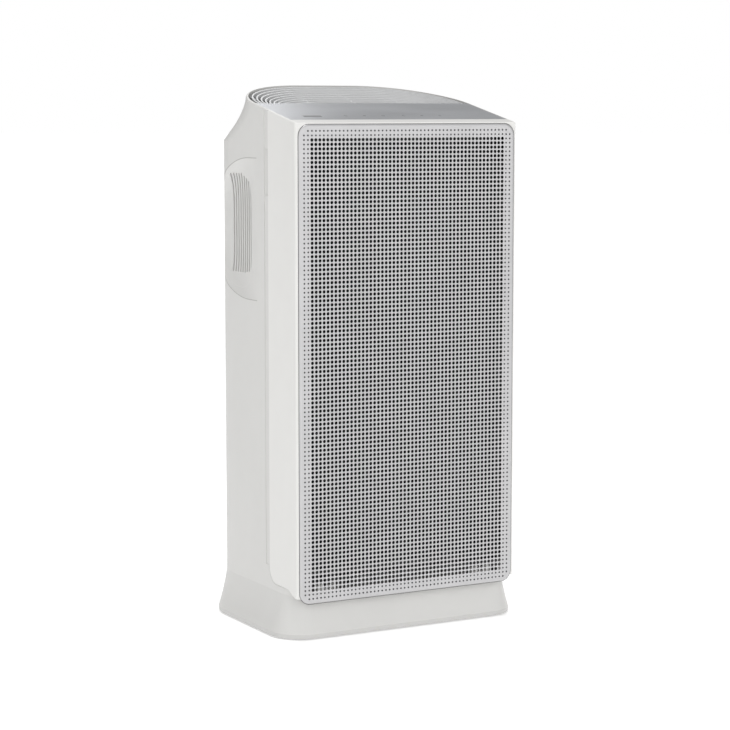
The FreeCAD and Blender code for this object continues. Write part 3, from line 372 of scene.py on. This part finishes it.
finishes = {
    "cover_white": moulded("cover_white", shade(WHITE, 0.94), 0.36),
    # The housing is the same white plastic as the cover, drawn darker: painted shade for the light falling
    # off towards the back.
    "housing_white_painted_shade": moulded("housing_white_painted_shade", shade(WHITE, 0.82), 0.42),
    "base_white": moulded("base_white", shade(WHITE, 0.74), 0.42),
    "grille_silver": satin_metal("grille_silver", (0.56, 0.556, 0.562), 0.42),
    # Near-black for the dimples' walls and floors: partly the grey backing behind the sheet, partly painted
    # shade in the pits.
    "dimple_backing_and_shade": moulded("dimple_backing_and_shade", (0.07, 0.07, 0.073), 0.6),
    "deck_silver": metal_lacquer("deck_silver", (0.62, 0.632, 0.655), 0.34),
    "outlet_silver": moulded("outlet_silver", (0.72, 0.725, 0.73), 0.4, grain=1100.0),
    "mark_grey": moulded("mark_grey", (0.2, 0.2, 0.205), 0.5),
    # Grey strips along the scoop creases: painted shadow of the creases.
    "crease_shadow_grey": moulded("crease_shadow_grey", (0.4, 0.395, 0.38), 0.5),
    "bar_grey": moulded("bar_grey", (0.17, 0.17, 0.175), 0.4),
    "inner_black": moulded(
        "inner_black", (0.014, 0.014, 0.015), 0.6, grain=500.0, height=0.06 * MM, wear=3.0
    ),
    "inner_white": moulded("inner_white", (0.72, 0.72, 0.7), 0.5),
    "foam_black": open_mesh("foam_black", (0.014, 0.014, 0.015)),
    "carbon": granules("carbon", (0.02, 0.02, 0.021)),
    "filter_paper": fibre_paper("filter_paper", (0.82, 0.83, 0.83)),
    "pull_tape": woven_tape("pull_tape", (0.12, 0.22, 0.42)),
    "rubber": rubber("rubber", (0.03, 0.03, 0.031)),
    "steel": steel("steel", (0.55, 0.55, 0.56), 0.32),
    "motor_steel": moulded(
        "motor_steel", (0.16, 0.16, 0.17), 0.45, grain=300.0, height=0.05 * MM, wear=2.2
    ),
    "board": circuit_board("board", (0.03, 0.16, 0.07)),
    "socket_black": moulded("socket_black", (0.018, 0.018, 0.018), 0.45, wear=3.0),
}

NODE_FINISH = {
    "cover_white": ("front_cover", "sensor_door"),
    "housing_white_painted_shade": ("rear_housing", "side_louvre_right", "side_louvre_left"),
    "base_white": ("base_pan",),
    "grille_silver": ("front_grille",),
    "deck_silver": ("top_deck",),
    "outlet_silver": ("top_outlet_grille",),
    "inner_white": ("hepa_frame", "impeller"),
    "foam_black": ("pre_filter_mesh",),
    "carbon": ("carbon_filter",),
    "filter_paper": ("hepa_pleats",),
    "pull_tape": ("filter_pull_tabs",),
    "rubber": ("rubber_feet", "motor_grommets"),
    "steel": (
        "base_screws", "cover_pivot_pins", "cover_magnets", "catch_plates", "bay_screws", "divider_screws",
        "impeller_nut", "motor_shaft", "motor_bearings", "motor_stator", "motor_screws",
    ),
    "motor_steel": ("motor_front_cap", "motor_rear_cup", "motor_rotor"),
    "board": ("display_board", "power_board"),
    "socket_black": ("power_inlet",),
}


def paint_frame():
    """Every CAD node gets its finish; the dark inner mouldings are what is left."""
    finish_of = {}
    for finish, nodes in NODE_FINISH.items():
        for node in nodes:
            finish_of[node] = finishes[finish]
    for name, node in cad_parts.items():
        for slot in node.material_slots:
            slot.material = finish_of.get(name, finishes["inner_black"])


# ---------------------------------------------------------------- mesh helpers


def add_piece(name, points, faces, materials, face_materials=None):
    mesh = bpy.data.meshes.new(name)
    mesh.from_pydata(points, [], faces)
    for material in materials:
        mesh.materials.append(material)
    if face_materials:
        mesh.polygons.foreach_set("material_index", face_materials)
    mesh.update()
    piece = bpy.data.objects.new(name, mesh)
    bpy.context.scene.collection.objects.link(piece)
    return piece


def rim_edges(faces):
    """The directed edges that only one face has."""
    used = {}
    for face in faces:
        for edge in zip(face, face[1:] + face[:1]):
            used[edge] = True
    return [edge for edge in used if (edge[1], edge[0]) not in used]


def thick_plate(flat, faces, front, back):
    """A flat (x, z) drawing, with any holes, made into a closed plate between two depths."""
    count = len(flat)
    points = [(x, front, z) for x, z in flat] + [(x, back, z) for x, z in flat]
    walls = [(b, a, a + count, b + count) for a, b in rim_edges(faces)]
    backs = [tuple(index + count for index in reversed(face)) for face in faces]
    return points, [tuple(face) for face in faces] + walls + backs


def turned_area(corners):
    """Twice the area of an (x, z) loop, positive if it runs anticlockwise seen from the front."""
    area = 0.0
    for (ax, az), (bx, bz) in zip(corners, corners[1:] + corners[:1]):
        area += ax * bz - bx * az
    return area


def facing_front(flat, face):
    """The face wound so that its normal points to -Y."""
    return face if turned_area([flat[index] for index in face]) > 0 else face[::-1]


# ---------------------------------------------------------------- perforated front

grille_low, grille_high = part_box("front_grille")
middle_x = (grille_low.x + grille_high.x) / 2
middle_z = (grille_low.z + grille_high.z) / 2 - LATTICE_DROP
field_half_x = COLUMNS / 2 * PITCH
field_half_z = ROWS / 2 * PITCH


def hole_middle(column, row):
    """Middle of a cell; 0, 0 is the open hole at the lower left."""
    x = middle_x + (column + 0.5) * PITCH - field_half_x
    z = middle_z + (row + 0.5) * PITCH - field_half_z
    return x, z


def field_corner(column, row, k):
    """Corner k of a hole's octagon. Cells just outside the field shrink onto its border."""
    x, z = hole_middle(column, row)
    turn = math.radians(HOLE_TURN * (k + 0.5))
    dx = HOLE_RADIUS * math.cos(turn)
    dz = HOLE_RADIUS * math.sin(turn)
    short = HOLE_RADIUS * math.sin(math.radians(HOLE_TURN / 2))
    if column in (-1, COLUMNS):
        dx = PITCH / 2 if column < 0 else -PITCH / 2
        dz = math.copysign(short, dz)
    if row in (-1, ROWS):
        dz = PITCH / 2 if row < 0 else -PITCH / 2
        if column not in (-1, COLUMNS):
            dx = math.copysign(short, dx)
    return round(x + dx, SAME_DIGITS), round(z + dz, SAME_DIGITS)


def open_field():
    """Flat drawing of the sheet between its open holes."""
    index = {}
    faces = []

    def corner(column, row, k):
        return index.setdefault(field_corner(column, row, k), len(index))

    def add(*corners):
        face = list(dict.fromkeys(corner(*c) for c in corners))
        if len(face) > 2:
            faces.append(face)

    for i in range(-1, COLUMNS):
        for j in range(-1, ROWS):
            if j >= 0:
                add((i, j, 0), (i, j, 7), (i + 1, j, 4), (i + 1, j, 3))
            if i >= 0:
                add((i, j, 1), (i, j + 1, 6), (i, j + 1, 5), (i, j, 2))
            add(
                (i, j, 1), (i, j, 0), (i + 1, j, 3), (i + 1, j, 2),
                (i + 1, j + 1, 5), (i + 1, j + 1, 4), (i, j + 1, 7), (i, j + 1, 6),
            )
    return list(index), faces


def grille_field():
    flat, faces = open_field()
    faces = [facing_front(flat, face) for face in faces]
    front = grille_low.y
    points, faces = thick_plate(flat, faces, front, front + SHEET_THICK)
    return add_piece("grille_field", points, faces, [finishes["grille_silver"]])


def border_cells():
    """Cells with a blind dimple, around the field. The four extreme corners have none."""
    first = -BORDER_CELLS
    last_column = COLUMNS + BORDER_CELLS - 1
    last_row = ROWS + BORDER_CELLS - 1
    cells = []
    for i in range(first, last_column + 1):
        for j in range(first, last_row + 1):
            inside = 0 <= i < COLUMNS and 0 <= j < ROWS
            extreme = i in (first, last_column) and j in (first, last_row)
            if not inside and not extreme:
                cells.append((i, j))
    return cells


def rounded_outline(inset):
    """Closed outline of the sheet, moved inwards, anticlockwise seen from the front."""
    half_x = (grille_high.x - grille_low.x) / 2
    half_z = (grille_high.z - grille_low.z) / 2
    centre_z = (grille_high.z + grille_low.z) / 2
    radius = CORNER_RADIUS - inset
    points = []
    for side_x, side_z, start in ((1, 1, 0), (-1, 1, 90), (-1, -1, 180), (1, -1, 270)):
        x = middle_x + side_x * (half_x - CORNER_RADIUS)
        z = centre_z + side_z * (half_z - CORNER_RADIUS)
        for step in range(CORNER_STEPS + 1):
            turn = math.radians(start + 90 * step / CORNER_STEPS)
            points.append((x + radius * math.cos(turn), z + radius * math.sin(turn)))
    return points


def chain(edges):
    """Puts directed edges in order, as closed loops."""
    following = dict(edges)
    loops = []
    while following:
        start = next(iter(following))
        loop = [start]
        step = following.pop(start)
        while step != start:
            loop.append(step)
            step = following.pop(step)
        loops.append(loop)
    return loops


def dimple_mouth(x, z):
    corners = []
    for k in range(HOLE_SIDES):
        turn = math.radians(HOLE_TURN * (k + 0.5))
        corners.append((x + DIMPLE_RADIUS * math.cos(turn), z + DIMPLE_RADIUS * math.sin(turn)))
    return corners


def cell_plates():
    """Drawings of the border's cells: whole squares, and squares with a dimple's mouth cut out."""
    index = {}
    whole = []
    cut = []
    mouths = []

    def point(x, z):
        return index.setdefault((round(x, SAME_DIGITS), round(z, SAME_DIGITS)), len(index))

    for i, j in border_cells():
        x, z = hole_middle(i, j)
        half = PITCH / 2
        square = [point(x + sx * half, z + sz * half) for sx, sz in CELL_CORNERS]
        mouth = [point(*corner) for corner in dimple_mouth(x, z)]
        whole.append(square)
        mouths.append(mouth)
        for side in range(4):
            at = 2 * side
            ahead = (at + 1) % HOLE_SIDES
            beyond = (at + 2) % HOLE_SIDES
            cut.append([square[side], mouth[ahead], mouth[at]])
            cut.append([square[side], square[(side + 1) % 4], mouth[beyond], mouth[ahead]])
    return list(index), whole, cut, mouths


def rounded_rim(first):
    """Rings of points from the sheet's face round to its back, and the faces between them."""
    thick = grille_high.y - grille_low.y
    size = len(rounded_outline(SEAM))
    points = []
    for step in range(RIM_STEPS + 1):
        turn = math.radians(90 * step / RIM_STEPS)
        y = grille_low.y + thick * (1 - math.cos(turn))
        inset = SEAM + RIM_ROUND * (1 - math.sin(turn))
        points += [(x, y, z) for x, z in rounded_outline(inset)]
    faces = []
    for step in range(RIM_STEPS):
        for k in range(size):
            a = first + step * size + k
            b = first + step * size + (k + 1) % size
            faces.append((a + size, b + size, b, a))
    return points, faces


def filled_between(points, outer, inner, to_front):
    """Triangles between two upright loops, facing the front or the back."""
    names = outer + inner
    drawn = [[Vector((points[n][0], points[n][2], 0)) for n in loop] for loop in (outer, inner)]
    triangles = [[names[t] for t in triangle] for triangle in tessellate_polygon(drawn)]
    area = sum(turned_area([(points[n][0], points[n][2]) for n in face]) for face in triangles)
    if (area < 0) == to_front:
        triangles = [face[::-1] for face in triangles]
    return triangles


def dimple_pits(points, mouths):
    """Adds the floor points of the blind dimples, and returns their walls and floors, which take the
    near-black finish: partly the grey backing behind the sheet, partly painted shade in the pits.
    """
    faces = []
    for mouth in mouths:
        start = len(points)
        points += [(points[n][0], grille_low.y + DIMPLE_DEPTH, points[n][2]) for n in mouth]
        floor = list(range(start, start + HOLE_SIDES))
        for k in range(HOLE_SIDES):
            ahead = (k + 1) % HOLE_SIDES
            faces.append((floor[ahead], floor[k], mouth[k], mouth[ahead]))
        faces.append(floor)
    return faces


def grille_border():
    """Border of the sheet with its blind dimples and its rounded rim, as one closed mesh."""
    flat, whole, cut, mouths = cell_plates()
    count = len(flat)
    points = [(x, grille_low.y, z) for x, z in flat] + [(x, grille_high.y, z) for x, z in flat]
    whole = [facing_front(flat, face) for face in whole]
    metal = [facing_front(flat, face) for face in cut]
    metal += [[index + count for index in reversed(face)] for face in whole]
    inner, outer = sorted(chain(rim_edges(whole)), key=len)
    metal += [(b, a, a + count, b + count) for a, b in zip(inner, inner[1:] + inner[:1])]

    front_ring = len(points)
    rim_points, rim_faces = rounded_rim(front_ring)
    points += rim_points
    metal += rim_faces
    size = len(rim_points) // (RIM_STEPS + 1)
    back_ring = front_ring + RIM_STEPS * size
    metal += filled_between(points, list(range(front_ring, front_ring + size)), outer, True)
    outer_back = [index + count for index in outer]
    metal += filled_between(points, list(range(back_ring, back_ring + size)), outer_back, False)

    # painted shade: the dimples' walls and floors take the near-black second finish
    dark = dimple_pits(points, mouths)
    return add_piece(
        "grille_border", points, [tuple(face) for face in metal + dark],
        [finishes["grille_silver"], finishes["dimple_backing_and_shade"]], [0] * len(metal) + [1] * len(dark),
    )


def grille_seam_shadow():
    """Thin black ring round the sheet, in the gap where it meets the white cover: painted shade of the gap.
    """
    outer = rounded_outline(0.0)
    inner = rounded_outline(SEAM)
    size = len(outer)
    flat = outer + inner
    faces = []
    for k in range(size):
        ahead = (k + 1) % size
        faces.append(facing_front(flat, [k, ahead, size + ahead, size + k]))
    points, faces = thick_plate(flat, faces, grille_low.y + SEAM_DROP, grille_high.y)
    return add_piece("grille_seam_shadow", points, faces, [finishes["inner_black"]])


def build_grille():
    for piece in (grille_field(), grille_border(), grille_seam_shadow()):
        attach(piece, "cover")
        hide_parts("front_grille")


# ---------------------------------------------------------------- marks on the deck


def deck_height(depth):
    """Height of the deck's surface, which rises evenly to the back."""
    low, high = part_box("top_deck")
    rise = (high.z - low.z - DECK_THICK) / (high.y - low.y)
    return high.z - rise * (high.y - grille_low.y - depth)


def strip_mark(x_low, x_high, depth_low, depth_high):
    """Flat drawing of one straight bar, as (points, faces) in (x, depth)."""
    points = [(x_low, depth_low), (x_high, depth_low), (x_high, depth_high), (x_low, depth_high)]
    return points, [[0, 1, 2, 3]]


def ring_mark(x, depth, radius, thick=MARK_LINE, start=0.0, end=360.0):
    """Flat drawing of a ring or of a part of one."""
    stops = RING_STEPS if end - start == 360 else RING_STEPS + 1
    points = []
    for step in range(stops):
        turn = math.radians(start + (end - start) * step / RING_STEPS)
        for reach in (radius - thick / 2, radius + thick / 2):
            points.append((x + reach * math.cos(turn), depth + reach * math.sin(turn)))
    faces = []
    for step in range(RING_STEPS):
        ahead = (step + 1) % stops
        faces.append([2 * step, 2 * step + 1, 2 * ahead + 1, 2 * ahead])
    return points, faces


def joined(drawings):
    points, faces = [], []
    for more_points, more_faces in drawings:
        faces += [[index + len(points) for index in face] for face in more_faces]
        points += more_points
    return points, faces


def upright_line(x, low, high):
    return strip_mark(x - MARK_LINE / 2, x + MARK_LINE / 2, low, high)


def switch_symbol(x, depth, r):
    return joined([
        ring_mark(x, depth, r, start=120, end=420),
        upright_line(x, depth + 0.3 * r, depth + 1.3 * r),
    ])


def fan_symbol(x, depth, r):
    blades = []
    for k in range(3):
        turn = math.radians(90 + 120 * k)
        reach = 0.55 * r
        blades.append(ring_mark(x + reach * math.cos(turn), depth + reach * math.sin(turn), 0.45 * r))
    return joined(blades)


def timer_symbol(x, depth, r):
    return joined([ring_mark(x, depth, r), upright_line(x, depth - MARK_LINE / 2, depth + 0.7 * r)])


def night_symbol(x, depth, r):
    return ring_mark(x, depth, r, 1.6 * MARK_LINE, 60, 300)


def lock_symbol(x, depth, r):
    body = strip_mark(x - 0.8 * r, x + 0.8 * r, depth - r, depth)
    return joined([body, ring_mark(x, depth, 0.55 * r, start=0, end=180)])


def light_symbol(x, depth, r):
    rays = [ring_mark(x, depth, 0.5 * r)]
    for k in range(4):
        turn = math.radians(90 * k)
        ray_depth = depth + 1.1 * r * math.sin(turn)
        ray_x = x + 1.1 * r * math.cos(turn)
        rays.append(upright_line(ray_x, ray_depth - MARK_LINE / 2, ray_depth + MARK_LINE / 2))
    return joined(rays)


TOUCH_SYMBOLS = (switch_symbol, fan_symbol, timer_symbol, night_symbol, lock_symbol, light_symbol)


def on_deck(x, depth, lift):
    return x, grille_low.y + depth, deck_height(depth) + lift


def film(name, drawing, finish, place, thick):
    """A drawing laid on a surface as a thin closed film; place(u, v, lift) is a point on it."""
    flat, faces = drawing
    count = len(flat)
    points = []
    for lift in (thick, 0.0):
        points += [place(u, v, lift) for u, v in flat]
    walls = [(b, a, a + count, b + count) for a, b in rim_edges(faces)]
    under = [tuple(index + count for index in reversed(face)) for face in faces]
    piece = add_piece(name, points, [tuple(f) for f in faces] + walls + under, [finish])
    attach(piece, "body")


def build_marks():
    for number, (symbol, x) in enumerate(zip(TOUCH_SYMBOLS, MARK_PLACES), 1):
        drawing = symbol(x * MM, MARK_DEPTH, MARK_RADIUS)
        film(f"touch_mark_{number}", drawing, finishes["mark_grey"], on_deck, MARK_THICK)
    bar = strip_mark(BAR_LEFT, BAR_RIGHT, BAR_DEPTH - BAR_HALF, BAR_DEPTH + BAR_HALF)
    film("indicator_bar", bar, finishes["bar_grey"], on_deck, MARK_THICK)


# ---------------------------------------------------------------- painted shadow lines along the creases of the side scoops


def crease_height(depth):
    """Half height of the scoop's rim at one depth."""
    reach = max(0.0, (depth - SCOOP_MIDDLE) / SCOOP_REACH)
    return SCOOP_HALF * math.sqrt(1 - reach * reach)


def crease_drawing(up):
    """Thin grey strip along the upper (up = 1) or lower (up = -1) half of the rim, in (depth, z): painted
    shadow of the crease.
    """
    points = []
    for step in range(CREASE_STEPS + 1):
        depth = SCOOP_START + (SCOOP_END - SCOOP_START) * step / CREASE_STEPS
        near = 0.1 * MM
        slope = (crease_height(depth + near) - crease_height(depth - near)) / (2 * near)
        across = Vector((-slope, 1.0)).normalized() * CREASE_HALF
        for side in (-1, 1):
            z = SCOOP_HEIGHT + up * (crease_height(depth) + side * across.y)
            points.append((depth + side * across.x, z))
    return points, [[2 * s, 2 * s + 1, 2 * s + 3, 2 * s + 2] for s in range(CREASE_STEPS)]


def on_side(side):
    """Places a drawing in (depth, z) on the body's left (-1) or right (1) wall and rear corner."""
    def place(depth, z, lift):
        turn = math.asin(max(0.0, (depth - BODY_DEPTH + REAR_RADIUS) / REAR_RADIUS))
        radius = REAR_RADIUS + lift
        x = BODY_HALF - REAR_RADIUS + radius * math.cos(turn)
        back = depth if turn == 0.0 else BODY_DEPTH - REAR_RADIUS + radius * math.sin(turn)
        return side * x, grille_low.y + back, z
    return place


def build_creases():
    for side, hand in ((-1, "left"), (1, "right")):
        for up, level in ((-1, "low"), (1, "high")):
            drawing = crease_drawing(up)
            if side * up > 0:
                drawing = drawing[0], [face[::-1] for face in drawing[1]]
            name = f"scoop_crease_shadow_{hand}_{level}"
            film(name, drawing, finishes["crease_shadow_grey"], on_side(side), CREASE_THICK)


# ---------------------------------------------------------------- studio


def floor_paint():
    paint = Paint("studio_floor")
    cloud = paint.noise(0.8, 3.0)
    fine = paint.noise(400.0, 2.0)
    base = paint.mix(cloud, (0.93, 0.93, 0.93), (0.96, 0.96, 0.96))
    paint.bump([(fine, 0.02 * MM)], 0.3)
    paint.shader.inputs["Emission Color"].default_value = (1.0, 1.0, 1.0, 1.0)
    paint.shader.inputs["Emission Strength"].default_value = FLOOR_GLOW
    return paint.finish(base, paint.spread(fine, 0.75, 0.85), specular=0.1)


def build_floor():
    points = [(0.0, 0.0, 0.0)]
    for k in range(FLOOR_SIDES):
        turn = 2 * math.pi * k / FLOOR_SIDES
        points.append((FLOOR_RADIUS * math.cos(turn), FLOOR_RADIUS * math.sin(turn), 0.0))
    faces = [(0, 1 + k, 1 + (k + 1) % FLOOR_SIDES) for k in range(FLOOR_SIDES)]
    floor = add_piece("studio_floor", points, faces, [floor_paint()])


def add_lamp(name, data):
    lamp = bpy.data.objects.new(name, data)
    bpy.context.scene.collection.objects.link(lamp)
    return lamp


def area_light(name, place, target, size, power):
    data = bpy.data.lights.new(name, "AREA")
    data.shape = "RECTANGLE"
    data.size, data.size_y = size
    data.energy = power
    lamp = add_lamp(name, data)
    lamp.location = place
    lamp.rotation_mode = "QUATERNION"
    lamp.rotation_quaternion = (Vector(target) - Vector(place)).to_track_quat("-Z", "Y")


def sun_light(name, strength):
    """Wide soft light from straight above, which whitens the floor and leaves upright faces alone."""
    data = bpy.data.lights.new(name, "SUN")
    data.energy = strength
    data.angle = math.radians(SUN_SPREAD)
    add_lamp(name, data)


def build_world():
    """Light that fades from the front left to the back right. Straight to the camera it shows plain white."""
    world = bpy.data.worlds.new("studio")
    bpy.context.scene.world = world
    world.use_nodes = True
    nodes = world.node_tree.nodes
    links = world.node_tree.links
    background = nodes["Background"]
    place = nodes.new("ShaderNodeTexCoord")
    dot = nodes.new("ShaderNodeVectorMath")
    dot.operation = "DOT_PRODUCT"
    dot.inputs[1].default_value = WORLD_BRIGHT_SIDE
    links.new(place.outputs["Generated"], dot.inputs[0])
    spread = nodes.new("ShaderNodeMapRange")
    spread.inputs["From Min"].default_value = -1.0
    spread.inputs["From Max"].default_value = 1.0
    spread.inputs["To Min"].default_value = WORLD_DARK
    spread.inputs["To Max"].default_value = WORLD_BRIGHT
    links.new(dot.outputs["Value"], spread.inputs["Value"])
    seen = nodes.new("ShaderNodeLightPath")
    mix = nodes.new("ShaderNodeMix")
    links.new(seen.outputs["Is Camera Ray"], mix.inputs[0])
    links.new(spread.outputs["Result"], mix.inputs[2])
    mix.inputs[3].default_value = 1.0
    links.new(mix.outputs[0], background.inputs["Strength"])
    background.inputs["Color"].default_value = (1.0, 1.0, 1.0, 1.0)


def build_lights():
    for name, place, target, size, power in AREA_LIGHTS:
        area_light(name, place, target, size, power)
    sun_light("sky_panel", SUN_STRENGTH)


def build_camera():
    data = bpy.data.cameras.new("camera")
    data.lens = CAMERA_LENS
    data.sensor_width = CAMERA_SENSOR
    data.clip_start = CAMERA_NEAR
    data.clip_end = CAMERA_FAR
    camera = bpy.data.objects.new("camera", data)
    camera.location = CAMERA_PLACE
    camera.rotation_euler = (math.radians(90 - CAMERA_PITCH), 0.0, -math.radians(CAMERA_YAW))
    bpy.context.scene.collection.objects.link(camera)
    bpy.context.scene.camera = camera


bpy.context.scene.view_settings.view_transform = "Standard"
paint_frame()
build_grille()
build_marks()
build_creases()
build_floor()
build_world()
build_lights()
build_camera()
bpy.context.view_layer.update()
